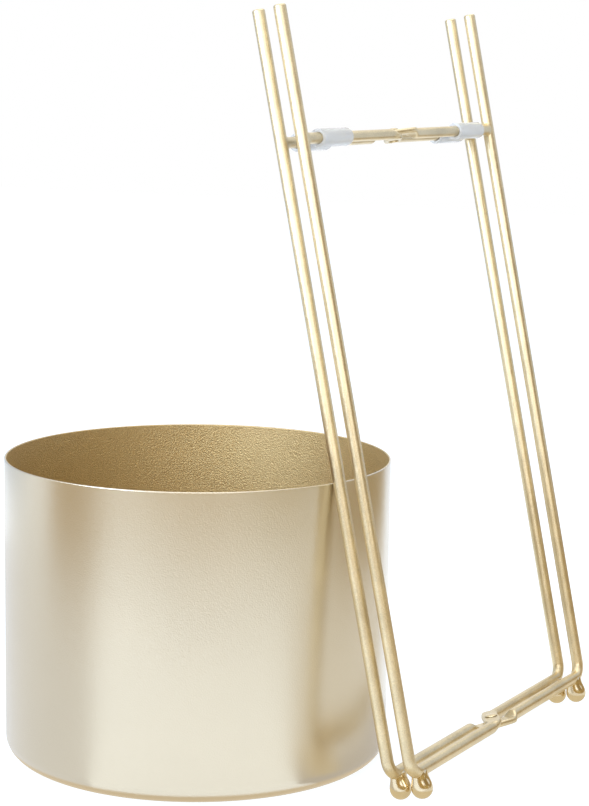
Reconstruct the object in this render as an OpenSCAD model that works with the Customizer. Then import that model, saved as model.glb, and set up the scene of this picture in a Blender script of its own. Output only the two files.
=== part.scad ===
// Folding wire plant stand, folded flat and leaning on the rim of its round metal pot.
// Origin: centre of the pot's flat bottom. +Z up, +X from the pot towards the feet of the stand,
// +Y along the rails of the folded stand. Millimetres.

/* [Pot] */
// Outside diameter of the pot
pot_d = 200; // [160:1:240]
// Height of the pot
pot_h = 156; // [120:1:200]
// Thickness of the sheet
pot_wall = 1; // [0.6:0.1:2]
// Outside radius of the turn from wall to bottom
pot_turn = 10; // [4:0.5:20]

/* [Frames] */
// Diameter of the rod that makes legs and bottom rail
rod_d = 6.3; // [5:0.1:8]
// Diameter of the crossbar
bar_d = 5.6; // [4.5:0.1:7]
// Space between pot and legs once the stand is open
pot_play = 3.5; // [1:0.1:8]
// Space between the two rows of rods when folded
row_clear = 5.7; // [4:0.1:12]
// Length of a leg, from the surface to its tip
leg_h = 392; // [300:1:500]
// Height of the crossbar above the surface
bar_z = 327; // [200:1:420]
// Radius of the corner bend at the rod's middle line
bend_r = 8; // [6:0.5:16]
// Rounding at the tip of a leg
tip_round = 1; // [0.3:0.1:2]

/* [Crossing] */
// Half length of the step that carries rail and crossbar from one row to the other
step_half = 14; // [11:0.5:22]
// Half length of the part pressed flat around the rivet
flat_half = 9; // [5:0.5:10]
// Width of the part pressed flat
eye_w = 9; // [8:0.1:12]
// Space between the two flattened parts
eye_gap = 0.2; // [0.1:0.05:0.6]
// Diameter of the rivet's shaft
rivet_d = 4; // [2.5:0.1:4.5]
// Space around the shaft in its hole
rivet_clear = 0.06; // [0.02:0.01:0.1]
// Diameter of the rivet's head
head_d = 7; // [5.5:0.1:9]
// Height of the rivet's head
head_h = 1.1; // [0.6:0.1:2]
// Diameter of the rivet's closed end
tail_d = 5.4; // [4.8:0.1:8]
// Height of the rivet's closed end
tail_h = 0.8; // [0.4:0.1:1.5]

/* [Feet] */
// Diameter of a ball foot
ball_d = 10.8; // [8:0.1:16]
// How deep the weld draws the ball into the rail
weld_sink = 0.25; // [0:0.05:0.6]
// Distance of the foot from the end of the corner bend
foot_past_bend = 0.5; // [0:0.1:10]

/* [Sleeves] */
// Length of a clear sleeve
sleeve_len = 29; // [15:1:45]
// Wall of a clear sleeve
sleeve_wall = 1.6; // [0.6:0.1:2.5]
// Space between sleeve and crossbar
sleeve_clear = 0.1; // [0.05:0.05:0.3]
// Distance from the middle line of the leg to the sleeve
sleeve_start = 15; // [8:0.5:25]

/* [Welds] */
// How far a weld spreads along the crossbar
weld_reach = 1.8; // [0.8:0.1:3]
// How far a weld spreads beyond the crossbar's side
weld_rise = 1; // [0.4:0.1:1.5]
// How far a weld stays inside the rod's side
weld_inside = 0.3; // [0.1:0.05:0.8]
// Seam between welded pieces
seam = 0.04; // [0.02:0.01:0.1]

/* [Resting place] */
// Distance of the back feet from the pot's middle line, along X
feet_out = 131.7; // [115:0.1:170]
// Distance from the pot's middle line to the rivets, along Y
rivets_along = 77.3; // [50:0.1:90]
// Space between the leaning leg and the rim
rest_clear = 0.3; // [0.2:0.05:0.6]

/* [Hidden] */

gold = [0.86, 0.76, 0.55];
gold_bright = [0.90, 0.78, 0.52];
pot_gold = [0.82, 0.76, 0.65];
clear_white = [0.90, 0.92, 0.94, 0.6];

rod_r = rod_d / 2;
bar_r = bar_d / 2;
ball_r = ball_d / 2;
row_pitch = rod_d + row_clear;
// Legs stand on a circle round the rivets that leaves the pot its play.
leg_circle = pot_d / 2 + pot_play + rod_r;
half_span = round(100 * sqrt(pow(leg_circle, 2) - pow(row_pitch / 2, 2))) / 100;
rail_z = ball_d + rod_r - weld_sink;
rail_half = half_span - bend_r;
foot_y = rail_half - foot_past_bend;

// The back left leg touches the rim at this height and this distance along X.
lean_y = rivets_along - half_span;
function touch_x(t) =
  sqrt(pow(pot_d / 2 + rod_r / cos(t) + rest_clear, 2) - pow(lean_y, 2));
function lean_for(t) = atan((feet_out - touch_x(t)) / (pot_h - ball_r));
lean = lean_for(lean_for(12));

// Sweep of the step: sides round the rod and rings along it.
sides = 20;
rings = 22;
// The swept end sits this much inside the round rod that it joins.
inset = eye_gap / 10;

function ease(t) = t <= 0 ? 0 : t >= 1 ? 1 : t * t * (3 - 2 * t);
function pressed(y) = 1 - ease((abs(y) - flat_half) / (step_half - flat_half));
function step_x(y) = row_pitch / 2 * sin(90 * y / step_half);
function step_slope(y) = row_pitch / 2 * cos(90 * y / step_half) * PI / 2 / step_half;
function half_t(r, y) = r - (r / 2 + eye_gap / 4) * pressed(y);
function half_w(r, y) = r + (eye_w / 2 - r) * pressed(y);
function ring_pts(r, hand, lap, y) =
  let (
    ht = min(half_t(r, y), r - inset),
    hw = half_w(r, y) - inset,
    m = hand * step_slope(y),
    n = sqrt(1 + m * m),
    z0 = lap * (r - half_t(r, y))
  )
  [for (j = [0:sides - 1])
    let (
      a = 360 * (j + 0.5) / sides,
      u = hw * cos(a),
      v = max(-ht, min(ht, (r - inset) * sin(a)))
    )
    [hand * step_x(y) + u / n, y - m * u / n, z0 + v]];

// The step between the rows, pressed flat at its middle. Each flattened half takes one half of
// the rod's height, so that the two frames lie at one level: lap is 1 for the upper, -1 for the
// lower half. hand is 1 where the left end is in the back row, -1 where it is in the front row.
module step_body(r, hand, lap) {
  ys = [for (k = [0:rings]) step_half * (2 * k / rings - 1)];
  pts = [for (y = ys) each ring_pts(r, hand, lap, y)];
  walls = [for (k = [0:rings - 1]) for (j = [0:sides - 1])
    let (
      a = k * sides + j,
      b = k * sides + (j + 1) % sides,
      c = a + sides,
      d = b + sides
    )
    each [[a, b, d], [a, d, c]]];
  near_cap = [for (j = [1:sides - 2]) [0, j + 1, j]];
  far = rings * sides;
  far_cap = [for (j = [1:sides - 2]) [far, far + j, far + j + 1]];
  polyhedron(points = pts, faces = concat(walls, near_cap, far_cap), convexity = 6);
}

module rod_y(r, y0, y1) {
  translate([0, y0, 0]) rotate([-90, 0, 0]) cylinder(r = r, h = y1 - y0, $fn = 48);
}

// A rod along Y that steps from one row to the other about the rivet.
module stepped_rod(r, hand, lap, reach) {
  difference() {
    union() {
      translate([-hand * row_pitch / 2, 0, 0]) rod_y(r, -reach, -step_half);
      step_body(r, hand, lap);
      translate([hand * row_pitch / 2, 0, 0]) rod_y(r, step_half, reach);
    }
    cylinder(r = rivet_d / 2 + rivet_clear, h = 4 * r, center = true, $fn = 32);
  }
}

// Quarter bend at the left corner, in the YZ plane, from the leg to the rail.
module corner_bend(r) {
  translate([0, -rail_half, rail_z + bend_r])
    rotate([90, 0, 90])
      rotate([0, 0, 180])
        rotate_extrude(angle = 90, $fn = 64) translate([bend_r, 0]) circle(r = r, $fn = 48);
}

// What is drawn for the left end, on the end that side names: -1 left, 1 right.
module on_side(hand, side) {
  translate([side * hand * row_pitch / 2, 0, 0]) mirror([0, side > 0 ? 1 : 0, 0]) children();
}

module leg() {
  z0 = rail_z + bend_r;
  translate([0, -half_span, z0]) {
    cylinder(r = rod_r, h = leg_h - tip_round - z0, $fn = 48);
    translate([0, 0, leg_h - tip_round - z0])
      rotate_extrude($fn = 48) {
        square([rod_r - tip_round, tip_round]);
        translate([rod_r - tip_round, 0])
          intersection() {
            circle(r = tip_round, $fn = 32);
            square(tip_round);
          }
      }
  }
}

// One frame's bent rod, drawn about the line of the rivets.
module frame_rod(hand, lap) {
  translate([0, 0, rail_z]) stepped_rod(rod_r, hand, lap, rail_half);
  for (side = [-1, 1])
    on_side(hand, side) {
      corner_bend(rod_r);
      leg();
    }
}

module weld_flare() {
  intersection() {
    translate([0, -(half_span - rod_r - weld_reach), bar_z])
      rotate([90, 0, 0])
        cylinder(r1 = bar_r, r2 = bar_r + weld_rise * (rod_r + weld_reach) / weld_reach,
                 h = rod_r + weld_reach, $fn = 48);
    translate([0, -half_span, bar_z])
      cube([rod_d - 2 * weld_inside, 3 * (rod_r + weld_reach), 2 * (bar_r + weld_rise)],
           center = true);
  }
}

module frame_crossbar(hand, lap) {
  difference() {
    union() {
      translate([0, 0, bar_z]) stepped_rod(bar_r, hand, lap, half_span);
      for (side = [-1, 1]) on_side(hand, side) weld_flare();
    }
    // The leg, and all that would stand out on its far side.
    for (side = [-1, 1])
      on_side(hand, side)
        translate([0, -half_span, bar_z - 2 * bar_d]) {
          cylinder(r = rod_r + seam, h = 4 * bar_d, $fn = 48);
          translate([-rod_d, -2 * rod_d, 0]) cube([2 * rod_d, 2 * rod_d, 4 * bar_d]);
        }
  }
}

module ball_foot(hand, side) {
  on_side(hand, side)
    difference() {
      translate([0, -foot_y, ball_r]) {
        sphere(r = ball_r, $fn = 48);
        translate([0, 0, ball_r * 0.59])
          cylinder(r1 = ball_r * 0.8, r2 = rod_r * 0.8, h = rod_r + ball_r * 0.1, $fn = 48);
      }
      translate([0, 0, rail_z]) rod_y(rod_r + seam, -rail_half, -rail_half + 2 * ball_d);
      corner_bend(rod_r + seam);
    }
}

module clear_sleeve(hand, side) {
  y0 = sleeve_start - half_span;
  on_side(hand, side)
    translate([0, 0, bar_z])
      difference() {
        rod_y(bar_r + sleeve_clear + sleeve_wall, y0, y0 + sleeve_len);
        rod_y(bar_r + sleeve_clear, y0 - 1, y0 + sleeve_len + 1);
      }
}

module pivot_rivet(r, z) {
  dome = (pow(head_d / 2, 2) + pow(head_h / 2, 2)) / head_h;
  translate([0, 0, z]) {
    cylinder(r = rivet_d / 2, h = 2 * r + 2 * seam, center = true, $fn = 32);
    translate([0, 0, r + seam])
      rotate_extrude($fn = 48)
        intersection() {
          translate([0, head_h - dome]) circle(r = dome, $fn = 96);
          square([head_d / 2, head_h]);
        }
    translate([0, 0, -r - seam - tail_h]) cylinder(r = tail_d / 2, h = tail_h, $fn = 48);
  }
}

// From the line of the rivets to the place beside the pot, leaning on its rim.
module at_rest() {
  translate([feet_out, rivets_along, ball_r])
    rotate([0, -lean, 0])
      translate([row_pitch / 2, 0, -ball_r])
        children();
}

module pot_outline(r, h, turn) {
  square([r - turn, h]);
  translate([0, turn]) square([r, h - turn]);
  translate([r - turn, turn]) circle(r = turn, $fn = 96);
}

module pot_shell() {
  color(pot_gold)
    rotate_extrude($fn = 180)
      intersection() {
        square([pot_d, pot_h]);
        union() {
          difference() {
            pot_outline(pot_d / 2, pot_h - pot_wall / 2, pot_turn);
            translate([0, pot_wall])
              pot_outline(pot_d / 2 - pot_wall, pot_h, pot_turn - pot_wall);
          }
          translate([pot_d / 2 - pot_wall / 2, pot_h - pot_wall / 2])
            circle(r = pot_wall / 2, $fn = 32);
        }
      }
}

module first_frame_rod() { color(gold) at_rest() frame_rod(1, -1); }
module first_frame_crossbar() { color(gold) at_rest() frame_crossbar(1, 1); }
module first_frame_left_foot() { color(gold_bright) at_rest() ball_foot(1, -1); }
module first_frame_right_foot() { color(gold_bright) at_rest() ball_foot(1, 1); }
module first_frame_left_sleeve() { color(clear_white) at_rest() clear_sleeve(1, -1); }
module first_frame_right_sleeve() { color(clear_white) at_rest() clear_sleeve(1, 1); }
module second_frame_rod() { color(gold) at_rest() frame_rod(-1, 1); }
module second_frame_crossbar() { color(gold) at_rest() frame_crossbar(-1, -1); }
module second_frame_left_foot() { color(gold_bright) at_rest() ball_foot(-1, -1); }
module second_frame_right_foot() { color(gold_bright) at_rest() ball_foot(-1, 1); }
module second_frame_left_sleeve() { color(clear_white) at_rest() clear_sleeve(-1, -1); }
module second_frame_right_sleeve() { color(clear_white) at_rest() clear_sleeve(-1, 1); }
module lower_pivot_rivet() { color(gold_bright) at_rest() pivot_rivet(rod_r, rail_z); }
module upper_pivot_rivet() { color(gold_bright) at_rest() pivot_rivet(bar_r, bar_z); }

pot_shell();
first_frame_rod();
first_frame_crossbar();
first_frame_left_foot();
first_frame_right_foot();
first_frame_left_sleeve();
first_frame_right_sleeve();
second_frame_rod();
second_frame_crossbar();
second_frame_left_foot();
second_frame_right_foot();
second_frame_left_sleeve();
second_frame_right_sleeve();
lower_pivot_rivet();
upper_pivot_rivet();
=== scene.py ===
import math

import bpy
from bpy.props import FloatProperty, FloatVectorProperty, PointerProperty
from mathutils import Matrix, Vector


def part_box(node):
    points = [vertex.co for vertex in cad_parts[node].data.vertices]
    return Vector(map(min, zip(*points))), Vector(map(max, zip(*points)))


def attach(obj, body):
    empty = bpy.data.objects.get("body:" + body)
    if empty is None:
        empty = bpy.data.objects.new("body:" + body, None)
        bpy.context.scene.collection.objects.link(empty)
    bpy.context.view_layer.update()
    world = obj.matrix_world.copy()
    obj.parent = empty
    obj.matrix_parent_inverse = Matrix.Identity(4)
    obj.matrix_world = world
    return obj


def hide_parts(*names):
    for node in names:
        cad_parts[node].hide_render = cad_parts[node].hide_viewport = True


bl_info = {
    "name": "Folding plant stand with pot",
    "version": (1, 0, 0),
    "blender": (4, 5, 0),
    "location": "View3D > Sidebar > Plant Stand",
    "description": "Round metal pot and folding wire stand with ball feet, sleeves and rivets",
    "category": "Object",
}

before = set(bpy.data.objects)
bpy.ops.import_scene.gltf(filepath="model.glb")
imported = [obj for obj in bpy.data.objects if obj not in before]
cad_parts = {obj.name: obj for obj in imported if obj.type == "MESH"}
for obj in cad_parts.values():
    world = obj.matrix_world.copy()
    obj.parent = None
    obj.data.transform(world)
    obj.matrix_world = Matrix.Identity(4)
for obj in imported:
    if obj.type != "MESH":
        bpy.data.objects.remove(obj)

MM = 0.001

# Each frame's hand, with the lap of its rail and the lap of its crossbar at the rivets. The hand is 1 where
# the left end is in the back row. A lap of 1 is the upper of the two flats, and -1 is the lower.
FRAMES = {"first_frame": (1.0, -1.0, 1.0), "second_frame": (-1.0, 1.0, -1.0)}

# Small spaces and edges of the made pieces.
SEAM = 0.04 * MM  # between a rivet's head or tail and the flat under it
RIVET_PLAY = 0.06 * MM  # round a rivet's shaft
SHOULDER = 1.2 * MM  # by which a flat outlasts its even part, so that its shoulder shows
BAR_END = 1.5 * MM  # by which a crossbar stops short of the middle of a leg
SLEEVE_EDGE = 0.3 * MM  # rounding at a sleeve's cut ends
TAIL_EDGES = (0.35 * MM, 0.15 * MM)  # rounding of a rivet's tail, outer and inner
CREASE = math.radians(32)  # edges that bend more than this stay crisp
STEP_MARGIN = 1.02  # share by which the fine rings reach past a step
WELD_CURVE = 1.6  # how late a weld starts to rise towards the leg

# A rivet head's dome as shares of its radius and its height, from the edge to the top.
DOME = ((0.86, 0.0), (1.0, 0.12), (0.985, 0.3), (0.9, 0.52), (0.76, 0.71), (0.58, 0.86), (0.38, 0.95),
        (0.18, 0.99), (0.0, 1.0))

# A ball foot's upper half and neck: shares of its radius, and millimetres over its middle.
NECK = ((0.995, 0.8), (0.985, 1.6), (0.972, 2.4), (0.958, 3.2), (0.943, 4.0), (0.928, 4.8), (0.912, 5.6),
        (0.895, 6.4), (0.872, 7.2), (0.83, 8.0), (0.74, 8.7), (0.58, 9.2), (0.34, 9.5), (0.0, 9.6))
# Where the neck narrows across the rail, in shares of the ball's radius, and how narrow it gets.
NECK_PINCH = (1.15, 2.1, 0.82)
# For a turned piece that is round all the way up.
NO_PINCH = {"Pinch From": 1.0, "Pinch To": 2.0, "Pinch": 1.0}

# How many marks of each finish lie side by side on one metre.
LACQUER_CLOUDS = 18.0  # patches of 56 mm
ROD_SPECKS = 1500.0  # specks of 0.7 mm
ROD_CLOUDS = 60.0  # patches of 17 mm
BALL_WAVES = 260.0  # waves of 4 mm
RIVET_DENTS = 420.0  # dents of 2.4 mm
SLEEVE_HAZE = 140.0  # clouds of 7 mm

# Where the photograph was taken from.
CAMERA_PLACE = (0.6019, -0.9636, 0.3597)
CAMERA_HEADING = (-0.4923, 0.8705)
CAMERA_PITCH = math.radians(8.79)  # downwards
CAMERA_ROLL = math.radians(0.78)
CAMERA_SIDE = -60.5  # bearing of the camera from the pot, in degrees from the X axis

ROOM_LIGHT = 0.62  # light that the white room gives, where a direct look at it gives 1
PAPER_SHARE = 0.62  # share of its own glow in the paper's white, where it is looked at directly
PAPER_GLOW = 1.45  # strength of that glow

# Upright glowing cards that face the pot and paint darker or lighter reflections in the metal: bearing from
# the camera's side, distance, height of the middle, width, height and tone. The first four stand in front,
# the other four at the sides and behind.
FRONT_REFLECTION_CARDS = (
    ("left_card", 68, 0.62, 0.13, 0.4, 0.26, "bca068"),
    ("gap_card", 38, 0.82, 0.12, 0.4, 0.24, "c4aa76"),
    ("front_card", 0, 0.82, 0.125, 0.76, 0.25, "b69856"),
    ("right_card", -47, 0.85, 0.13, 0.7, 0.26, "c0a870"),
)
OUTER_REFLECTION_CARDS = (
    ("side_card", -66, 1.2, 0.6, 1.0, 0.7, "a08a60"),
    ("low_right_card", -105, 0.55, 0.07, 0.7, 0.14, "b09868"),
    ("back_left_card", 140, 0.9, 0.4, 1.0, 0.8, "ccd6e2"),
    ("back_right_card", -125, 0.9, 0.4, 0.9, 0.8, "d6deec"),
)
# Glowing cards and discs on the paper that paint the floor's shadows round the pot, rails and feet, seen
# only in the metal's reflections: place, width, depth, tone, turn in degrees and number of corners.
FLOOR_SHADOW_CARDS = (
    ("left_floor_shade_card", (-0.365, -0.104, 0.0004), 0.86, 0.62, "f2f5fa", 59.1, 4),
    ("right_floor_shade_card", (0.34, 0.2, 0.0005), 0.44, 0.5, "f6f4ef", 0.0, 4),
    ("gap_shadow_card", (0.115, 0.04, 0.00055), 0.04, 0.17, "d4d0cc", 0.0, 4),
    ("contact_shadow_disc", (0.0, 0.0, 0.0007), 0.2, 0.2, "e8dac2", 0.0, 96),
    ("front_feet_shadow_disc", (0.138, -0.021, 0.0006), 0.056, 0.044, "e4d9c0", 0.0, 48),
    ("back_feet_shadow_disc", (0.138, 0.175, 0.0006), 0.056, 0.044, "e4d9c0", 0.0, 48),
)


def linear(code):
    """Linear red, green, blue and 1 for a colour written as sRGB hex."""
    parts = [int(code[i:i + 2], 16) / 255 for i in (0, 2, 4)]
    return tuple(p / 12.92 if p <= 0.04045 else ((p + 0.055) / 1.055) ** 2.4 for p in parts) + (1.0,)


def length(name, text, default):
    """A length whose default is given in millimetres."""
    return FloatProperty(name=name, description=text, default=default * MM, min=0.0, unit="LENGTH",
                         precision=5)


def colour(name, text, code):
    """A colour whose default is written as sRGB hex."""
    return FloatVectorProperty(name=name, description=text, default=linear(code)[:3], size=3, min=0.0,
                               max=1.0, subtype="COLOR")


def power(name, text, watts):
    """A lamp's power in watts."""
    return FloatProperty(name=name, description=text, default=watts, min=0.0, unit="POWER")


POT_LOW, POT_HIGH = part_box("pot_shell")


class PLANTSTAND_PG_pot(bpy.types.PropertyGroup):
    diameter: length("Diameter", "Outside diameter of the pot", (POT_HIGH.x - POT_LOW.x) / MM)
    height: length("Height", "Height of the pot", (POT_HIGH.z - POT_LOW.z) / MM)
    wall: length("Sheet", "Thickness of the sheet", 1.0)
    turn: length("Bottom turn", "Outside radius of the turn from wall to bottom", 10.0)
    grain: length("Grain", "Width of one grain of the lacquer inside", 0.7)
    # The paler outside colour is in part painted light, for the washed-out look of the brightly lit outside
    # wall; the inside keeps the deeper gold.
    outside: colour("Outside", "Champagne colour of the lacquered outside", "d9ceb6")
    inside: colour("Inside", "Deeper colour of the grained inside", "d1b884")


class PLANTSTAND_PG_stand(bpy.types.PropertyGroup):
    rod: length("Rod", "Diameter of the rod of legs and rails", 6.3)
    bar: length("Crossbar", "Diameter of the crossbar", 5.6)
    row: length("Row pitch", "Distance between the two rows of the folded stand", 12.0)
    half_span: length("Half span", "Distance of a leg's middle line from the rivets", 106.48)
    bend: length("Corner bend", "Radius of the corner bend at the rod's middle line", 8.0)
    leg: length("Leg", "Height of a leg's tip above the surface", 392.0)
    tip: length("Tip rounding", "Rounding at the tip of a leg", 1.0)
    bar_level: length("Crossbar height", "Height of the crossbar above the surface", 327.0)
    step: length("Step", "Half length of the step between the rows", 14.0)
    flat: length("Flat", "Half length of the part pressed flat at the rivet", 9.0)
    eye: length("Eye width", "Width of the part pressed flat", 9.0)
    gap: length("Eye gap", "Space between the two flattened parts", 0.2)
    ball: length("Ball foot", "Diameter of a ball foot", 10.8)
    sink: length("Weld sink", "How deep the weld draws the ball into the rail", 0.25)
    foot_line: length("Foot line", "Distance of the feet from the rivets along the rail", 97.98)
    weld_rise: length("Weld rise", "How far a weld stands proud of the crossbar", 1.0)
    weld_reach: length("Weld reach", "How far a weld spreads along the crossbar", 1.8)
    shaft: length("Rivet shaft", "Diameter of the rivet's shaft", 4.0)
    head: length("Rivet head", "Diameter of the rivet's head", 7.0)
    head_rise: length("Head height", "Height of the rivet's head", 1.1)
    tail: length("Rivet tail", "Diameter of the rivet's closed end", 5.4)
    tail_rise: length("Tail height", "Height of the rivet's closed end", 0.8)
    sleeve: length("Sleeve", "Length of a clear sleeve", 29.0)
    sleeve_wall: length("Sleeve wall", "Wall of a clear sleeve", 1.6)
    sleeve_play: length("Sleeve play", "Space between sleeve and crossbar", 0.1)
    sleeve_start: length("Sleeve start", "Distance from the leg's middle line to the sleeve", 15.0)
    feet_out: length("Feet out", "Distance of the back feet from the pot's middle line", 131.7)
    along: length("Along", "Distance of the rivets from the pot's middle line", 77.3)
    lean: FloatProperty(name="Lean", description="Lean of the folded stand", default=math.radians(12.1328),
                        subtype="ANGLE")
    gold: colour("Rod gold", "Colour of the satin gold plating", "e6d6b1")
    bright: colour("Ball gold", "Colour of the polished ball feet", "e7d8b8")
    clear: colour("Sleeve", "Colour of the clear sleeves", "fcfdfc")


class PLANTSTAND_PG_stage(bpy.types.PropertyGroup):
    focal: FloatProperty(name="Focal length", description="Lens for a 36 mm tall picture", default=99.13,
                         min=1.0)
    floor: colour("Floor", "Colour of the cool white paper under the object", "f4f9ff")
    key: power("Key lamp", "Power of the soft lamp at the left", 15.4)
    inside: power("Inside lamp", "Power of the small lamp that reaches into the pot", 3.2)
    fill: power("Fill lamp", "Power of the wide soft lamp in front", 7.5)
    top: power("Top lamp", "Power of the soft lamp overhead", 6.0)


# ---------------------------------------------------------------- small helpers for node trees

def add(tree, kind, inputs=None, **settings):
    """Adds one node; an input is a value, another node's socket, or a node for its first socket."""
    node = tree.nodes.new(kind)
    for key, value in settings.items():
        setattr(node, key, value)
    for key, source in (inputs or {}).items():
        if isinstance(source, bpy.types.Node):
            source = source.outputs[0]
        if isinstance(source, bpy.types.NodeSocket):
            tree.links.new(source, node.inputs[key])
        else:
            node.inputs[key].default_value = source
    return node


def shape_tree(name, sockets):
    """An empty Geometry Nodes tree with named inputs; returns it and its input sockets by name."""
    tree = bpy.data.node_groups.new(name, "GeometryNodeTree")
    tree.interface.new_socket("Geometry", in_out="INPUT", socket_type="NodeSocketGeometry")
    tree.interface.new_socket("Geometry", in_out="OUTPUT", socket_type="NodeSocketGeometry")
    for label, kind in sockets:
        tree.interface.new_socket(label, in_out="INPUT", socket_type="NodeSocket" + kind)
    return tree, add(tree, "NodeGroupInput").outputs


def end_shape_tree(tree, shape, finish):
    """Smooth faces with the real edges kept, copies made real, finish put on."""
    fold = add(tree, "GeometryNodeInputMeshEdgeAngle")
    edge = add(tree, "FunctionNodeCompare", {"A": fold.outputs["Unsigned Angle"], "B": CREASE},
               operation="GREATER_THAN")
    smooth = add(tree, "GeometryNodeSetShadeSmooth", {"Geometry": shape, "Shade Smooth": True},
                 domain="FACE")
    crisp = add(tree, "GeometryNodeSetShadeSmooth",
                {"Geometry": smooth, "Selection": edge, "Shade Smooth": False}, domain="EDGE")
    real = add(tree, "GeometryNodeRealizeInstances", {"Geometry": crisp})
    done = add(tree, "GeometryNodeSetMaterial", {"Geometry": real, "Material": finish})
    add(tree, "NodeGroupOutput", {"Geometry": done})


def grow(name, points, closed, traits, tree, values):
    """The plain mesh object that a shape tree grows from a line of points with traits."""
    count = len(points)
    edges = [(i, (i + 1) % count) for i in range(count if closed else count - 1)]
    line = bpy.data.meshes.new(name + "_line")
    line.from_pydata(points, edges, [])
    for key, numbers in traits.items():
        line.attributes.new(key, "FLOAT", "POINT").data.foreach_set("value", numbers)
    piece = bpy.data.objects.new(name, line)
    bpy.context.scene.collection.objects.link(piece)
    grower = piece.modifiers.new("Grow", "NODES")
    grower.node_group = tree
    for item in tree.interface.items_tree:
        if item.in_out == "INPUT" and item.name in values:
            grower[item.identifier] = values[item.name]
    bpy.context.view_layer.update()
    graph = bpy.context.evaluated_depsgraph_get()
    mesh = bpy.data.meshes.new_from_object(piece.evaluated_get(graph), depsgraph=graph)
    piece.modifiers.clear()
    piece.data = mesh
    mesh.name = name
    bpy.data.meshes.remove(line)
    helpers = ("spine", "pressed", "flare", "girth", "corner")
    for key in [a.name for a in mesh.attributes if a.name in helpers]:
        mesh.attributes.remove(mesh.attributes[key])
    return piece


# ---------------------------------------------------------------- the two shape trees

def turned_tree():
    """A profile of points at (radius, height) turned round the Z axis, and copied along a line."""
    tree, given = shape_tree("Turned form", [
        ("Sides", "Int"), ("Corner Steps", "Int"), ("Turn", "Vector"), ("Copies", "Int"),
        ("First Place", "Vector"), ("Next Place", "Vector"), ("Pinch From", "Float"),
        ("Pinch To", "Float"), ("Pinch", "Float"), ("Material", "Material")])
    # The profile runs round a small circle and is set back by as much, so that it turns about the Z axis.
    hub = 1.0 * MM
    merge = 0.005 * MM
    line = add(tree, "GeometryNodeMeshToCurve", {"Mesh": given["Geometry"]})
    corner = add(tree, "GeometryNodeInputNamedAttribute", {"Name": "corner"}, data_type="FLOAT")
    rounded = add(tree, "GeometryNodeFilletCurve",
                  {"Curve": line, "Radius": corner, "Count": given["Corner Steps"]}, mode="POLY")
    laid = add(tree, "GeometryNodeTransform",
               {"Geometry": rounded, "Translation": (-hub, 0.0, 0.0), "Scale": (1.0, -1.0, 1.0)})
    ring = add(tree, "GeometryNodeCurvePrimitiveCircle", {"Resolution": given["Sides"], "Radius": hub})
    upright = add(tree, "GeometryNodeSetCurveNormal", {"Curve": ring.outputs["Curve"]}, mode="Z_UP")
    turned = add(tree, "GeometryNodeCurveToMesh", {"Curve": upright, "Profile Curve": laid})
    closed = add(tree, "GeometryNodeMergeByDistance", {"Geometry": turned, "Distance": merge})
    place = add(tree, "GeometryNodeInputPosition")
    parts = add(tree, "ShaderNodeSeparateXYZ", {0: place})
    narrow = add(tree, "ShaderNodeMapRange",
                 {"Value": parts.outputs["Z"], "From Min": given["Pinch From"],
                  "From Max": given["Pinch To"], "To Min": 1.0, "To Max": given["Pinch"]},
                 interpolation_type="SMOOTHSTEP")
    pinched = add(tree, "ShaderNodeMath", {0: parts.outputs["Y"], 1: narrow}, operation="MULTIPLY")
    moved = add(tree, "ShaderNodeCombineXYZ",
                {"X": parts.outputs["X"], "Y": pinched, "Z": parts.outputs["Z"]})
    formed = add(tree, "GeometryNodeSetPosition", {"Geometry": closed, "Position": moved})
    outward = add(tree, "GeometryNodeFlipFaces", {"Mesh": formed})
    aimed = add(tree, "GeometryNodeTransform", {"Geometry": outward, "Rotation": given["Turn"]})
    spots = add(tree, "GeometryNodeMeshLine",
                {"Count": given["Copies"], "Start Location": given["First Place"],
                 "Offset": given["Next Place"]})
    copies = add(tree, "GeometryNodeInstanceOnPoints", {"Points": spots, "Instance": aimed})
    real = add(tree, "GeometryNodeRealizeInstances", {"Geometry": copies})
    end_shape_tree(tree, real, given["Material"])
    return tree


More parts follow.
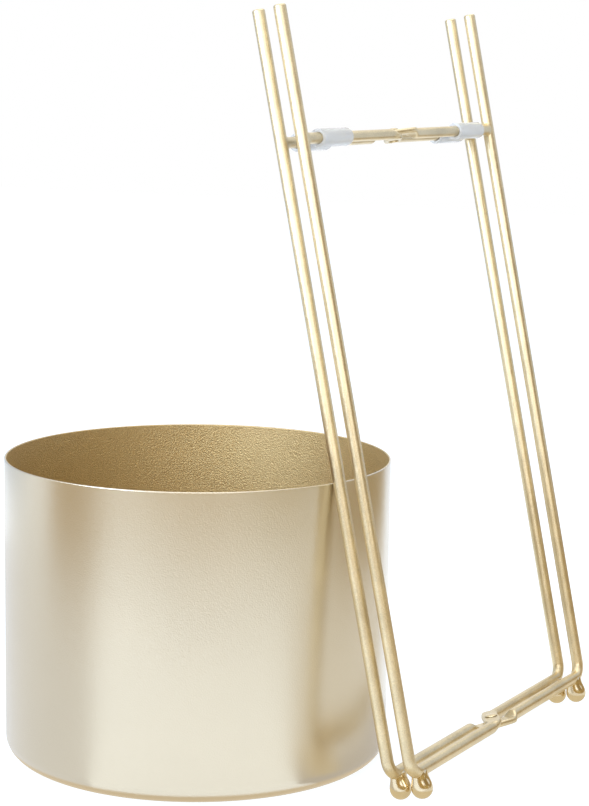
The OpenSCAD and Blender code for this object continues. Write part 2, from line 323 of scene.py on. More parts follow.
def stepped_rod_tree():
    """A round rod along a bent line that steps from row to row and is pressed flat at the rivet."""
    tree, given = shape_tree("Stepped rod", [
        ("Rod Radius", "Float"), ("Sides", "Int"), ("Corner Steps", "Int"), ("Hand", "Float"),
        ("Lap", "Float"), ("Row Pitch", "Float"), ("Step Half", "Float"), ("Flat Half", "Float"),
        ("Eye Width", "Float"), ("Eye Gap", "Float"), ("Weld Rise", "Float"), ("Weld Line", "Float"),
        ("Weld Reach", "Float"), ("Level", "Float"), ("Hole Radius", "Float"), ("Material", "Material")])

    radius = given["Rod Radius"]
    line = add(tree, "GeometryNodeMeshToCurve", {"Mesh": given["Geometry"]})
    corner = add(tree, "GeometryNodeInputNamedAttribute", {"Name": "corner"}, data_type="FLOAT")
    bent = add(tree, "GeometryNodeFilletCurve",
               {"Curve": line, "Radius": corner, "Count": given["Corner Steps"]}, mode="POLY")
    # The step: a sine carries the line from one row to the other.
    place = add(tree, "ShaderNodeSeparateXYZ", {0: add(tree, "GeometryNodeInputPosition")})
    share = add(tree, "ShaderNodeMath", {0: place.outputs["Y"], 1: given["Step Half"]}, operation="DIVIDE")
    held = add(tree, "ShaderNodeClamp", {"Value": share, "Min": -1.0, "Max": 1.0})
    swing = add(tree, "ShaderNodeMath", {0: held, 1: math.pi / 2}, operation="MULTIPLY")
    wave = add(tree, "ShaderNodeMath", {0: swing}, operation="SINE")
    row = add(tree, "ShaderNodeMath", {0: given["Row Pitch"], 1: 0.5}, operation="MULTIPLY")
    side = add(tree, "ShaderNodeMath", {0: row, 1: given["Hand"]}, operation="MULTIPLY")
    across = add(tree, "ShaderNodeMath", {0: wave, 1: side}, operation="MULTIPLY")
    stepped = add(tree, "GeometryNodeSetPosition", {
        "Geometry": bent, "Offset": add(tree, "ShaderNodeCombineXYZ", {"X": across})})
    # How flat each ring is pressed, and how far the weld spreads it.
    along = add(tree, "ShaderNodeMath", {0: place.outputs["Y"]}, operation="ABSOLUTE")
    press = add(tree, "ShaderNodeMapRange", {
        "Value": along, "From Min": given["Flat Half"], "From Max": given["Step Half"], "To Min": 1.0,
        "To Max": 0.0}, interpolation_type="SMOOTHSTEP")
    reach = add(tree, "ShaderNodeMath", {0: given["Weld Line"], 1: given["Weld Reach"]},
                operation="SUBTRACT")
    near = add(tree, "ShaderNodeMapRange", {
        "Value": along, "From Min": reach, "From Max": given["Weld Line"], "To Min": 0.0, "To Max": 1.0})
    swell = add(tree, "ShaderNodeMath", {0: near, 1: WELD_CURVE}, operation="POWER")
    proud = add(tree, "ShaderNodeMath", {0: swell, 1: given["Weld Rise"]}, operation="MULTIPLY")
    bead = add(tree, "ShaderNodeMath", {0: proud, 1: radius}, operation="DIVIDE")
    known = stepped
    for name, value, kind in (("pressed", press, "FLOAT"), ("flare", bead, "FLOAT"),
                              ("spine", add(tree, "GeometryNodeInputPosition"), "FLOAT_VECTOR")):
        known = add(tree, "GeometryNodeStoreNamedAttribute",
                    {"Geometry": known, "Name": name, "Value": value}, data_type=kind, domain="POINT")
    ring = add(tree, "GeometryNodeCurvePrimitiveCircle", {"Resolution": given["Sides"], "Radius": radius})
    girth = add(tree, "GeometryNodeInputNamedAttribute", {"Name": "girth"}, data_type="FLOAT")
    swept = add(tree, "GeometryNodeCurveToMesh",
                {"Curve": known, "Profile Curve": ring.outputs["Curve"], "Scale": girth, "Fill Caps": True})
    # Each ring is spread sideways and held between the two flats of its lap.
    spine = add(tree, "GeometryNodeInputNamedAttribute", {"Name": "spine"}, data_type="FLOAT_VECTOR")
    pressed = add(tree, "GeometryNodeInputNamedAttribute", {"Name": "pressed"}, data_type="FLOAT")
    flare = add(tree, "GeometryNodeInputNamedAttribute", {"Name": "flare"}, data_type="FLOAT")
    away = add(tree, "ShaderNodeVectorMath", {0: add(tree, "GeometryNodeInputPosition"), 1: spine},
               operation="SUBTRACT")
    off = add(tree, "ShaderNodeSeparateXYZ", {0: away})
    half_eye = add(tree, "ShaderNodeMath", {0: given["Eye Width"], 1: 0.5}, operation="MULTIPLY")
    eye_share = add(tree, "ShaderNodeMath", {0: half_eye, 1: radius}, operation="DIVIDE")
    wider = add(tree, "ShaderNodeMath", {0: eye_share, 1: 1.0}, operation="SUBTRACT")
    spread = add(tree, "ShaderNodeMath", {0: wider, 1: pressed, 2: 1.0}, operation="MULTIPLY_ADD")
    quarter_gap = add(tree, "ShaderNodeMath", {0: given["Eye Gap"], 1: 0.25}, operation="MULTIPLY")
    thinned = add(tree, "ShaderNodeMath", {0: radius, 1: 0.5, 2: quarter_gap}, operation="MULTIPLY_ADD")
    lost = add(tree, "ShaderNodeMath", {0: pressed, 1: thinned}, operation="MULTIPLY")
    half = add(tree, "ShaderNodeMath", {0: radius, 1: lost}, operation="SUBTRACT")
    minus_half = add(tree, "ShaderNodeMath", {0: half, 1: -1.0}, operation="MULTIPLY")
    flared = add(tree, "ShaderNodeMath", {0: flare, 1: 1.0}, operation="ADD")
    tall = add(tree, "ShaderNodeMath", {0: off.outputs["Z"], 1: flared}, operation="MULTIPLY")
    capped = add(tree, "ShaderNodeMath", {0: half, 1: tall}, operation="MINIMUM")
    lowered = add(tree, "ShaderNodeMath", {0: minus_half, 1: capped}, operation="MAXIMUM")
    lapped = add(tree, "ShaderNodeMath", {0: lost, 1: given["Lap"], 2: lowered}, operation="MULTIPLY_ADD")
    in_flat = add(tree, "ShaderNodeMath", {0: pressed, 1: 0.0}, operation="GREATER_THAN")
    rise = add(tree, "ShaderNodeMix", {0: in_flat, 2: tall, 3: lapped})
    ring_x = add(tree, "ShaderNodeMath", {0: off.outputs["X"], 1: spread}, operation="MULTIPLY")
    ring_y = add(tree, "ShaderNodeMath", {0: off.outputs["Y"], 1: spread}, operation="MULTIPLY")
    ring_point = add(tree, "ShaderNodeCombineXYZ", {"X": ring_x, "Y": ring_y, "Z": rise})
    shaped = add(tree, "GeometryNodeSetPosition", {
        "Geometry": swept, "Position": add(tree, "ShaderNodeVectorMath", {0: spine, 1: ring_point})})
    deep = add(tree, "ShaderNodeMath", {0: radius, 1: 4.0}, operation="MULTIPLY")
    drill = add(tree, "GeometryNodeMeshCylinder",
                {"Vertices": 32, "Radius": given["Hole Radius"], "Depth": deep})
    set_drill = add(tree, "GeometryNodeTransform", {
        "Geometry": drill, "Translation": add(tree, "ShaderNodeCombineXYZ", {"Z": given["Level"]})})
    bored = add(tree, "GeometryNodeMeshBoolean", {"Mesh 1": shaped, "Mesh 2": set_drill},
                operation="DIFFERENCE", solver="EXACT")
    end_shape_tree(tree, bored, given["Material"])
    return tree


# ---------------------------------------------------------------- finishes

def empty_finish(name):
    """A named material and its node tree, still empty."""
    finish = bpy.data.materials.new(name)
    finish.use_nodes = True
    finish.node_tree.nodes.clear()
    return finish, finish.node_tree


def new_finish(name):
    """A named material with its shader and the object's own coordinates."""
    finish, tree = empty_finish(name)
    shader = add(tree, "ShaderNodeBsdfPrincipled")
    add(tree, "ShaderNodeOutputMaterial", {"Surface": shader})
    where = add(tree, "ShaderNodeTexCoord").outputs["Object"]
    return finish, tree, shader, where


def deeper(tone, share):
    """A shade of a colour, darker below 1 and lighter above."""
    return tuple(c * share for c in tone[:3]) + (1.0,)


def lacquered_sheet(pot):
    """Champagne lacquer on spun steel sheet.

    Sprayed satin lacquer over bright sheet: broad soft reflections without a sharp picture, and only a faint
    trace of grain outside. Inside, the thicker coat has dried to a fine leather grain about 0.7 mm wide.
    """
    finish, tree, shader, where = new_finish("Champagne satin lacquer on spun steel sheet")
    # Distance from the line that the wall, the turn and the bottom keep around the inside of the pot.
    spot = add(tree, "ShaderNodeSeparateXYZ", {0: where})
    flat = add(tree, "ShaderNodeCombineXYZ", {"X": spot.outputs["X"], "Y": spot.outputs["Y"]})
    radius = add(tree, "ShaderNodeVectorMath", {0: flat}, operation="LENGTH").outputs["Value"]
    past = add(tree, "ShaderNodeMath", {0: radius, 1: pot.diameter / 2 - pot.turn}, operation="SUBTRACT")
    under = add(tree, "ShaderNodeMath", {0: pot.turn, 1: spot.outputs["Z"]}, operation="SUBTRACT")
    out = add(tree, "ShaderNodeMath", {0: past, 1: 0.0}, operation="MAXIMUM")
    down = add(tree, "ShaderNodeMath", {0: under, 1: 0.0}, operation="MAXIMUM")
    both = add(tree, "ShaderNodeCombineXYZ", {"X": out, "Y": down})
    depth = add(tree, "ShaderNodeVectorMath", {0: both}, operation="LENGTH").outputs["Value"]
    inside = add(tree, "ShaderNodeMath", {0: depth, 1: pot.turn - pot.wall / 2}, operation="LESS_THAN")
    cloud = add(tree, "ShaderNodeTexNoise", {"Vector": where, "Scale": LACQUER_CLOUDS, "Detail": 2.0})
    mottle = add(tree, "ShaderNodeMapRange",
                 {"Value": cloud.outputs["Fac"], "From Min": 0.3, "From Max": 0.7})
    # Outside, a paler tone that is in part painted light for the brightly lit, washed-out wall; inside, the
    # deeper gold with its grain.
    outside_tone = add(tree, "ShaderNodeMix",
                       {0: mottle, 6: deeper(pot.outside, 0.97), 7: deeper(pot.outside, 1.0)},
                       data_type="RGBA").outputs[2]
    grain = add(tree, "ShaderNodeTexNoise",
                {"Vector": where, "Scale": 1.0 / pot.grain, "Detail": 2.5, "Roughness": 0.55})
    bead = add(tree, "ShaderNodeMapRange",
               {"Value": grain.outputs["Fac"], "From Min": 0.35, "From Max": 0.65})
    inside_tone = add(tree, "ShaderNodeMix",
                      {0: bead, 6: deeper(pot.inside, 0.86), 7: deeper(pot.inside, 1.05)},
                      data_type="RGBA").outputs[2]
    tone = add(tree, "ShaderNodeMix", {0: inside, 6: outside_tone, 7: inside_tone},
               data_type="RGBA").outputs[2]
    tree.links.new(tone, shader.inputs["Base Color"])
    relief = add(tree, "ShaderNodeMapRange", {"Value": inside, "To Min": 0.25, "To Max": 0.95})
    bump = add(tree, "ShaderNodeBump",
               {"Height": grain.outputs["Fac"], "Strength": relief, "Distance": 0.4 * MM})
    tree.links.new(bump.outputs["Normal"], shader.inputs["Normal"])
    rough = add(tree, "ShaderNodeMapRange", {"Value": inside, "To Min": 0.28, "To Max": 0.5})
    tree.links.new(rough.outputs[0], shader.inputs["Roughness"])
    shader.inputs["Metallic"].default_value = 1.0
    shader.inputs["Coat Weight"].default_value = 1.0
    shader.inputs["Coat Roughness"].default_value = 0.25
    return finish


def plated_rod(stand):
    """Satin gold plating on drawn steel rod.

    The plating follows the fine pits of drawn and bent rod, so the bright line along it breaks up into a
    faint speckle about half a millimetre wide, drawn a little coarser here so that it shows.
    """
    finish, tree, shader, where = new_finish("Satin gold plating on drawn steel rod")
    speck = add(tree, "ShaderNodeTexNoise", {"Vector": where, "Scale": ROD_SPECKS, "Detail": 2.0})
    cloud = add(tree, "ShaderNodeTexNoise", {"Vector": where, "Scale": ROD_CLOUDS, "Detail": 2.0})
    tint = add(tree, "ShaderNodeMath", {0: speck.outputs["Fac"], 1: cloud.outputs["Fac"]}, operation="ADD")
    mask = add(tree, "ShaderNodeMapRange", {"Value": tint, "From Min": 0.75, "From Max": 1.25})
    tone = add(tree, "ShaderNodeMix", {0: mask, 6: deeper(stand.gold, 0.82), 7: deeper(stand.gold, 1.06)},
               data_type="RGBA").outputs[2]
    tree.links.new(tone, shader.inputs["Base Color"])
    rough = add(tree, "ShaderNodeMapRange", {"Value": speck.outputs["Fac"], "To Min": 0.22, "To Max": 0.46})
    tree.links.new(rough.outputs[0], shader.inputs["Roughness"])
    bump = add(tree, "ShaderNodeBump",
               {"Height": speck.outputs["Fac"], "Strength": 0.45, "Distance": 0.2 * MM})
    tree.links.new(bump.outputs["Normal"], shader.inputs["Normal"])
    shader.inputs["Metallic"].default_value = 1.0
    return finish


def polished_ball(stand):
    """Polished gold plating on a turned steel ball.

    Turned and polished before plating: a clear curved picture of the studio with deep warm lines, and only
    soft waves where the weld was dressed.
    """
    finish, tree, shader, where = new_finish("Polished gold plating on turned steel ball")
    wave = add(tree, "ShaderNodeTexNoise", {"Vector": where, "Scale": BALL_WAVES, "Detail": 1.0})
    tone = add(tree, "ShaderNodeMix",
               {0: wave.outputs["Fac"], 6: deeper(stand.bright, 0.9), 7: deeper(stand.bright, 1.05)},
               data_type="RGBA").outputs[2]
    tree.links.new(tone, shader.inputs["Base Color"])
    bump = add(tree, "ShaderNodeBump",
               {"Height": wave.outputs["Fac"], "Strength": 0.1, "Distance": 0.5 * MM})
    tree.links.new(bump.outputs["Normal"], shader.inputs["Normal"])
    shader.inputs["Metallic"].default_value = 1.0
    shader.inputs["Roughness"].default_value = 0.15
    return finish


def set_rivet(stand):
    """Gold-plated steel rivet, headed cold.

    The hammered head is smoother than the rod but wavy, and its tone is paler where the dents stand high.
    """
    finish, tree, shader, where = new_finish("Gold plating on cold-headed steel rivet")
    dent = add(tree, "ShaderNodeTexNoise", {"Vector": where, "Scale": RIVET_DENTS, "Detail": 2.0})
    tone = add(tree, "ShaderNodeMix",
               {0: dent.outputs["Fac"], 6: deeper(stand.gold, 0.85), 7: deeper(stand.gold, 1.08)},
               data_type="RGBA").outputs[2]
    tree.links.new(tone, shader.inputs["Base Color"])
    bump = add(tree, "ShaderNodeBump",
               {"Height": dent.outputs["Fac"], "Strength": 0.25, "Distance": 0.4 * MM})
    tree.links.new(bump.outputs["Normal"], shader.inputs["Normal"])
    shader.inputs["Metallic"].default_value = 1.0
    shader.inputs["Roughness"].default_value = 0.26
    return finish


def clear_tube(stand):
    """Clear soft vinyl tube, extruded and cut.

    Light passes with a slight milkiness, the bar shows through, and its surface is faintly uneven.
    """
    finish, tree, shader, where = new_finish("Clear soft vinyl tube")
    haze = add(tree, "ShaderNodeTexNoise", {"Vector": where, "Scale": SLEEVE_HAZE, "Detail": 2.0})
    rough = add(tree, "ShaderNodeMapRange", {"Value": haze.outputs["Fac"], "To Min": 0.08, "To Max": 0.3})
    tree.links.new(rough.outputs[0], shader.inputs["Roughness"])
    bump = add(tree, "ShaderNodeBump",
               {"Height": haze.outputs["Fac"], "Strength": 0.15, "Distance": 0.5 * MM})
    tree.links.new(bump.outputs["Normal"], shader.inputs["Normal"])
    shader.inputs["Base Color"].default_value = tuple(stand.clear) + (1.0,)
    shader.inputs["IOR"].default_value = 1.5
    shader.inputs["Transmission Weight"].default_value = 0.5
    return finish


# ---------------------------------------------------------------- places and lines of the stand

def rail_level(stand):
    """Height of a rail's middle line over the surface."""
    return stand.ball + stand.rod / 2 - stand.sink


def rest_place(stand):
    """From the line of the rivets to the place beside the pot, leaning on its rim."""
    ball = stand.ball / 2
    return (Matrix.Translation((stand.feet_out, stand.along, ball)) @ Matrix.Rotation(-stand.lean, 4, "Y")
            @ Matrix.Translation((stand.row / 2, 0.0, -ball)))


def settle(piece, place, body, nodes):
    """Puts a finished piece in its place and on its body, where it stands for its nodes."""
    piece.data.transform(place)
    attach(piece, body)
    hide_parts(*nodes)


def tip_points(stand, side):
    """Points and girths of a leg's rounded tip, from the top down."""
    radius = stand.rod / 2
    found = []
    for step in range(5):
        angle = math.pi / 2 * (1 - step / 4)
        rise = stand.tip * math.sin(angle)
        girth = (radius - stand.tip + stand.tip * math.cos(angle)) / radius
        found.append(((0.0, side * stand.half_span, stand.leg - stand.tip + rise), girth))
    return found


def step_points(stand, level, count=30):
    """The closely set points along a step."""
    return [(0.0, stand.step * STEP_MARGIN * (2 * k / count - 1), level) for k in range(count + 1)]


def rod_values(stand, radius, level, hand, lap, finish):
    """Inputs of the stepped rod's tree for a rod without a weld."""
    return {"Rod Radius": radius, "Sides": 32, "Corner Steps": 14, "Hand": hand, "Lap": lap,
            "Row Pitch": stand.row, "Step Half": stand.step, "Flat Half": stand.flat + SHOULDER,
            "Eye Width": stand.eye, "Eye Gap": stand.gap, "Weld Rise": 0.0, "Weld Line": 1.0,
            "Weld Reach": 0.1, "Level": level, "Hole Radius": stand.shaft / 2 + RIVET_PLAY,
            "Material": finish}


# ---------------------------------------------------------------- operators

class PLANTSTAND_OT_pot(bpy.types.Operator):
    """Turn the round pot from one sheet, with its cut rim and rounded bottom edge"""
    bl_idname = "plantstand.pot"
    bl_label = "Round Pot"

    def execute(self, context):
        pot = context.scene.plantstand_pot
        radius = pot.diameter / 2
        inner = radius - pot.wall
        points = [(0, 0, 0), (radius, 0, 0), (radius, pot.height, 0), (inner, pot.height, 0),
                  (inner, pot.wall, 0), (0, pot.wall, 0)]
        rim = pot.wall * 0.499
        corners = [0.0, pot.turn, rim, rim, pot.turn - pot.wall, 0.0]
        values = {**NO_PINCH, "Sides": 256, "Corner Steps": 12, "Copies": 1,
                  "Material": lacquered_sheet(pot)}
        piece = grow("round_pot", points, False, {"corner": corners}, turned_tree(), values)
        settle(piece, Matrix.Identity(4), "pot", ["pot_shell"])
        return {"FINISHED"}


class PLANTSTAND_OT_rods(bpy.types.Operator):
    """Bend the two frame rods, each with two legs, a bottom rail and its flattened step"""
    bl_idname = "plantstand.rods"
    bl_label = "Frame Rods"

    def execute(self, context):
        stand = context.scene.plantstand_stand
        tree = stepped_rod_tree()
        finish = plated_rod(stand)
        level = rail_level(stand)
        left = tip_points(stand, -1.0)
        right = tip_points(stand, 1.0)[::-1]
        middle = step_points(stand, level)
        points = ([p for p, _ in left] + [(0.0, -stand.half_span, level)] + middle
                  + [(0.0, stand.half_span, level)] + [p for p, _ in right])
        girths = [g for _, g in left] + [1.0] * (len(middle) + 2) + [g for _, g in right]
        corners = [0.0] * len(points)
        corners[len(left)] = corners[-len(right) - 1] = stand.bend
        traits = {"girth": girths, "corner": corners}
        for body, (hand, lap, _) in FRAMES.items():
            values = rod_values(stand, stand.rod / 2, level, hand, lap, finish)
            piece = grow(body + "_bent_rod", points, False, traits, tree, values)
            settle(piece, rest_place(stand), body, [body + "_rod"])
        return {"FINISHED"}


class PLANTSTAND_OT_crossbars(bpy.types.Operator):
    """Make the two crossbars with their flattened steps and the welds at the legs"""
    bl_idname = "plantstand.crossbars"
    bl_label = "Crossbars"

    def execute(self, context):
        stand = context.scene.plantstand_stand
        tree = stepped_rod_tree()
        finish = plated_rod(stand)
        level = stand.bar_level
        weld_line = stand.half_span - stand.rod / 2
        ends = [stand.half_span - BAR_END]
        ends += [weld_line - stand.weld_reach * k / 6 for k in range(7)]
        left = [(0.0, -y, level) for y in ends]
        points = left + step_points(stand, level) + [(0.0, y, level) for y in ends[::-1]]
        traits = {"girth": [1.0] * len(points), "corner": [0.0] * len(points)}
        for body, (hand, _, lap) in FRAMES.items():
            values = rod_values(stand, stand.bar / 2, level, hand, lap, finish)
            values.update({"Weld Rise": stand.weld_rise, "Weld Line": weld_line,
                           "Weld Reach": stand.weld_reach})
            piece = grow(body + "_stepped_bar", points, False, traits, tree, values)
            settle(piece, rest_place(stand), body, [body + "_crossbar"])
        return {"FINISHED"}


class PLANTSTAND_OT_feet(bpy.types.Operator):
    """Turn the ball feet, whose welds rise as a saddle to the rod"""
    bl_idname = "plantstand.feet"
    bl_label = "Ball Feet"

    def execute(self, context):
        stand = context.scene.plantstand_stand
        ball = stand.ball / 2
        points = []
        for k in range(21):
            angle = math.radians(-90 + 90 * k / 20)
            points.append((ball * math.cos(angle), ball + ball * math.sin(angle), 0.0))
        points[0] = (0.0, 0.0, 0.0)
        points += [(ball * r, ball + h * MM, 0.0) for r, h in NECK]
        pinch_from, pinch_to, pinch = NECK_PINCH
        tree = turned_tree()
        finish = polished_ball(stand)
        for body, (hand, _, _) in FRAMES.items():
            first = Vector((-hand * stand.row / 2, -stand.foot_line, 0.0))
            values = {"Sides": 64, "Corner Steps": 1, "Copies": 2, "First Place": first,
                      "Next Place": -2 * first, "Turn": (0.0, 0.0, math.radians(90)),
                      "Pinch From": ball * pinch_from, "Pinch To": ball * pinch_to, "Pinch": pinch,
                      "Material": finish}
            piece = grow(body + "_ball_feet", points, False, {"corner": [0.0] * len(points)}, tree, values)
            settle(piece, rest_place(stand), body,
                   [body + "_left_foot", body + "_right_foot"])
        return {"FINISHED"}


class PLANTSTAND_OT_sleeves(bpy.types.Operator):
    """Cut the clear sleeves on the crossbars"""
    bl_idname = "plantstand.sleeves"
    bl_label = "Clear Sleeves"

    def execute(self, context):
        stand = context.scene.plantstand_stand
        bore = stand.bar / 2 + stand.sleeve_play
        outer = bore + stand.sleeve_wall
        half = stand.sleeve / 2
        points = [(bore, -half, 0), (outer, -half, 0), (outer, half, 0), (bore, half, 0)]
        tree = turned_tree()
        finish = clear_tube(stand)
        middle = stand.half_span - stand.sleeve_start - half
        for body, (hand, _, _) in FRAMES.items():
            first = Vector((-hand * stand.row / 2, -middle, stand.bar_level))
            step = Vector((hand * stand.row, 2 * middle, 0.0))
            values = {**NO_PINCH, "Sides": 48, "Corner Steps": 4, "Turn": (math.radians(-90), 0.0, 0.0),
                      "Copies": 2, "First Place": first, "Next Place": step, "Material": finish}
            piece = grow(body + "_sleeves", points, True, {"corner": [SLEEVE_EDGE] * 4}, tree, values)
            settle(piece, rest_place(stand), body,
                   [body + "_left_sleeve", body + "_right_sleeve"])
        return {"FINISHED"}


class PLANTSTAND_OT_rivets(bpy.types.Operator):
    """Turn the two rivets on whose common line the frames fold"""
    bl_idname = "plantstand.rivets"
    bl_label = "Pivot Rivets"

    def execute(self, context):
        stand = context.scene.plantstand_stand
        tree = turned_tree()
        finish = set_rivet(stand)
        for name, node, radius, level in (
                ("lower_rivet", "lower_pivot_rivet", stand.rod / 2, rail_level(stand)),
                ("upper_rivet", "upper_pivot_rivet", stand.bar / 2, stand.bar_level)):
            top = level + radius + SEAM
            low = level - radius - SEAM
            points = [(0.0, low - stand.tail_rise, 0.0), (stand.tail / 2, low - stand.tail_rise, 0.0),
                      (stand.tail / 2, low, 0.0), (stand.shaft / 2, low, 0.0), (stand.shaft / 2, top, 0.0)]
            points += [(stand.head / 2 * r, top + stand.head_rise * h, 0.0) for r, h in DOME]
            corners = [0.0, *TAIL_EDGES] + [0.0] * (len(points) - 3)
            values = {**NO_PINCH, "Sides": 48, "Corner Steps": 4, "Copies": 1, "Material": finish}
            piece = grow(name, points, False, {"corner": corners}, tree, values)
            settle(piece, rest_place(stand), "first_frame", [node])
        return {"FINISHED"}


# ---------------------------------------------------------------- studio

def soft_lamp(name, place, aim, width, height, watts, tint):
    """A large soft lamp that points at a place."""
    lamp = bpy.data.lights.new(name, "AREA")
    lamp.shape = "RECTANGLE"
    lamp.size = width
    lamp.size_y = height
    lamp.energy = watts
    lamp.color = linear(tint)[:3]
    holder = bpy.data.objects.new(name, lamp)
    bpy.context.scene.collection.objects.link(holder)
    holder.location = place
    holder.rotation_euler = (Vector(aim) - Vector(place)).to_track_quat("-Z", "Y").to_euler()


def studio_sheet(name, points, finish):
    """A flat one-sided sheet of the studio."""
    mesh = bpy.data.meshes.new(name)
    mesh.from_pydata(points, [], [tuple(range(len(points)))])
    mesh.materials.append(finish)
    sheet = bpy.data.objects.new(name, mesh)
    bpy.context.scene.collection.objects.link(sheet)
    return sheet


def card(name, place, aim, width, height, tone, spin=0.0, corners=4):
    """A card that glows in its own tone though it is no lamp and only shows in the metal, as a painted
    reflection or as a painted floor shadow; a disc when it has many corners.
    """
    finish, tree = empty_finish(name + "_tone")
    # The tone is the card's own glow and no lamp lights it: a painted reflection, or on the floor a painted
    # shadow.
    glow = add(tree, "ShaderNodeEmission", {"Color": linear(tone)})
    add(tree, "ShaderNodeOutputMaterial", {"Surface": glow})
    reach = 0.5 / math.cos(math.pi / corners)
    turns = [math.pi * (2 * k + 1) / corners for k in range(corners)]
    points = [(width * reach * math.cos(t), height * reach * math.sin(t), 0.0) for t in turns]
    sheet = studio_sheet(name, points, finish)
    turn = (Vector(aim) - Vector(place)).to_track_quat("Z", "Y").to_matrix().to_4x4()
    sheet.data.transform(Matrix.Translation(place) @ turn @ Matrix.Rotation(math.radians(spin), 4, "Z"))
    sheet.visible_camera = False
    sheet.visible_diffuse = False
    sheet.visible_shadow = False
    sheet.visible_transmission = False


def around(bearing, distance, height):
    """A place round the pot, its bearing counted to the left of the camera's side."""
    turn = math.radians(CAMERA_SIDE - bearing)
    return Vector((distance * math.cos(turn), distance * math.sin(turn), height))


def upright_cards(rows):
    """Stands the glowing cards of painted reflection round the pot so that they face its middle line."""
    for name, bearing, distance, level, width, height, tone in rows:
        card(name, around(bearing, distance, level), (0.0, 0.0, level), width, height, tone)


def seen_directly(tree):
    """1 where the camera, a reflection or a clear piece looks straight at it."""
    path = add(tree, "ShaderNodeLightPath")
    first = add(tree, "ShaderNodeMath",
                {0: path.outputs["Is Camera Ray"], 1: path.outputs["Is Glossy Ray"]}, operation="MAXIMUM")
    return add(tree, "ShaderNodeMath", {0: first, 1: path.outputs["Is Transmission Ray"]},
               operation="MAXIMUM")


def white_room(scene):
    """A white world that gives less light than it shows."""
    world = bpy.data.worlds.new("White surround")
    world.use_nodes = True
    tree = world.node_tree
    tree.nodes.clear()
    scene.world = world
    level = add(tree, "ShaderNodeMapRange",
                {"Value": seen_directly(tree), "To Min": ROOM_LIGHT, "To Max": 1.0})
    sky = add(tree, "ShaderNodeBackground", {"Color": linear("ffffff"), "Strength": level})
    add(tree, "ShaderNodeOutputWorld", {"Surface": sky})


def paper_floor(stage):
    """Cool white paper that shows white to the camera and still takes the object's shadow."""
    finish, tree = empty_finish("White paper sweep")
    paper_white = tuple(stage.floor) + (1.0,)
    matt = add(tree, "ShaderNodeBsdfDiffuse", {"Color": paper_white})
    glow = add(tree, "ShaderNodeEmission", {"Color": paper_white, "Strength": PAPER_GLOW})
    amount = add(tree, "ShaderNodeMapRange",
                 {"Value": seen_directly(tree), "To Min": 0.0, "To Max": PAPER_SHARE})
    paper = add(tree, "ShaderNodeMixShader", {0: amount, 1: matt, 2: glow})
    add(tree, "ShaderNodeOutputMaterial", {"Surface": paper})
    studio_sheet("pale_floor", [(-4, -4, 0), (4, -4, 0), (4, 4, 0), (-4, 4, 0)], finish)


def photo_camera(scene, stage):
    """The camera where the photograph was taken."""
    sight = bpy.data.cameras.new("photo_view")
    sight.sensor_fit = "VERTICAL"
    sight.sensor_height = 36.0
    sight.lens = stage.focal
    sight.clip_end = 50.0
    viewer = bpy.data.objects.new("photo_view", sight)
    scene.collection.objects.link(viewer)
    look = Vector((*CAMERA_HEADING, -math.tan(CAMERA_PITCH))).normalized()
    turn = look.to_track_quat("-Z", "Y").to_matrix() @ Matrix.Rotation(CAMERA_ROLL, 3, "Z")
    viewer.matrix_world = Matrix.Translation(CAMERA_PLACE) @ turn.to_4x4()
    scene.camera = viewer


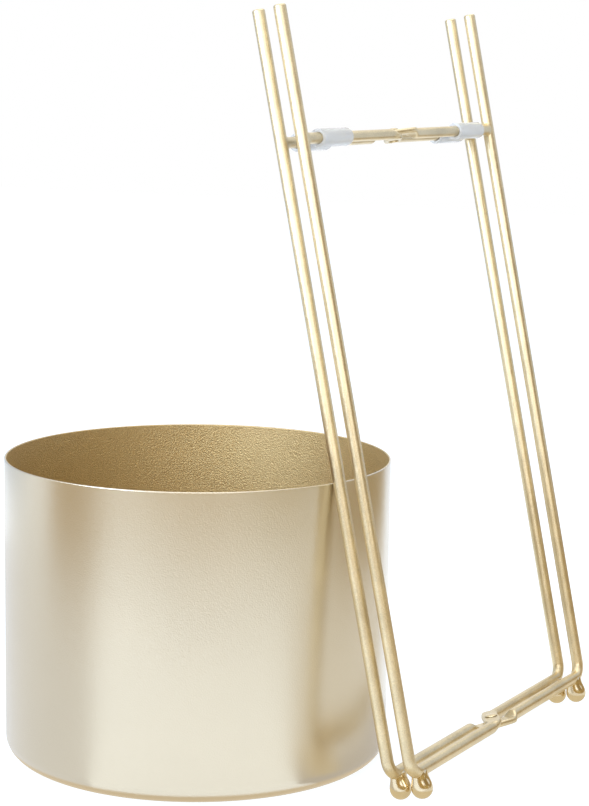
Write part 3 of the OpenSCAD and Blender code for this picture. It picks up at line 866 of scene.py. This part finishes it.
class PLANTSTAND_OT_stage(bpy.types.Operator):
    """Lay the pale floor, set the soft lamps and stand the camera where the photograph was taken"""
    bl_idname = "plantstand.stage"
    bl_label = "Stage and Camera"

    def execute(self, context):
        scene = context.scene
        stage = scene.plantstand_stage
        scene.view_settings.view_transform = "Standard"
        white_room(scene)
        paper_floor(stage)
        # Each lamp: place, where it points, width, height, power and tint.
        soft_lamp("key_lamp", around(51, 1.35, 0.72), around(51, 0.0, 0.62), 1.0, 0.9, stage.key, "c8dfff")
        soft_lamp("inside_lamp", around(60, 0.95, 0.95), (0.0, 0.0, 0.12), 0.4, 0.3, stage.inside, "d0e0ff")
        soft_lamp("fill_lamp", around(0, 1.5, 0.75), around(0, 0.0, 0.7), 1.8, 1.0, stage.fill, "f8faff")
        soft_lamp("top_lamp", (0.1, 0.2, 1.6), (0.05, 0.05, 0.12), 1.4, 1.4, stage.top, "ffffff")
        # Glowing cards of painted reflection, in front of the pot
        upright_cards(FRONT_REFLECTION_CARDS)
        # Glowing cards of painted floor shadow, seen only in reflections
        for name, place, width, depth, tone, turn, corners in FLOOR_SHADOW_CARDS:
            card(name, place, (place[0], place[1], 1.0), width, depth, tone, turn, corners)
        upright_cards(OUTER_REFLECTION_CARDS)
        photo_camera(scene, stage)
        return {"FINISHED"}


# ---------------------------------------------------------------- panel and registration

class PLANTSTAND_PT_panel(bpy.types.Panel):
    bl_label = "Plant Stand"
    bl_idname = "PLANTSTAND_PT_panel"
    bl_space_type = "VIEW_3D"
    bl_region_type = "UI"
    bl_category = "Plant Stand"

    def draw(self, context):
        for group in (context.scene.plantstand_pot, context.scene.plantstand_stand,
                      context.scene.plantstand_stage):
            box = self.layout.box()
            for key in group.__annotations__:
                box.prop(group, key)
        for operator in STEPS:
            self.layout.operator(operator.bl_idname)


STEPS = (PLANTSTAND_OT_pot, PLANTSTAND_OT_rods, PLANTSTAND_OT_crossbars, PLANTSTAND_OT_feet,
         PLANTSTAND_OT_sleeves, PLANTSTAND_OT_rivets, PLANTSTAND_OT_stage)
GROUPS = (("plantstand_pot", PLANTSTAND_PG_pot), ("plantstand_stand", PLANTSTAND_PG_stand),
          ("plantstand_stage", PLANTSTAND_PG_stage))


def register():
    for key, group in GROUPS:
        bpy.utils.register_class(group)
        setattr(bpy.types.Scene, key, PointerProperty(type=group))
    for operator in STEPS:
        bpy.utils.register_class(operator)
    bpy.utils.register_class(PLANTSTAND_PT_panel)


def unregister():
    bpy.utils.unregister_class(PLANTSTAND_PT_panel)
    for operator in reversed(STEPS):
        bpy.utils.unregister_class(operator)
    for key, group in reversed(GROUPS):
        delattr(bpy.types.Scene, key)
        bpy.utils.unregister_class(group)


def main():
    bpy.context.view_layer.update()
    register()
    bpy.ops.plantstand.pot()
    bpy.ops.plantstand.rods()
    bpy.ops.plantstand.crossbars()
    bpy.ops.plantstand.feet()
    bpy.ops.plantstand.sleeves()
    bpy.ops.plantstand.rivets()
    bpy.ops.plantstand.stage()


if __name__ == "__main__":
    main()
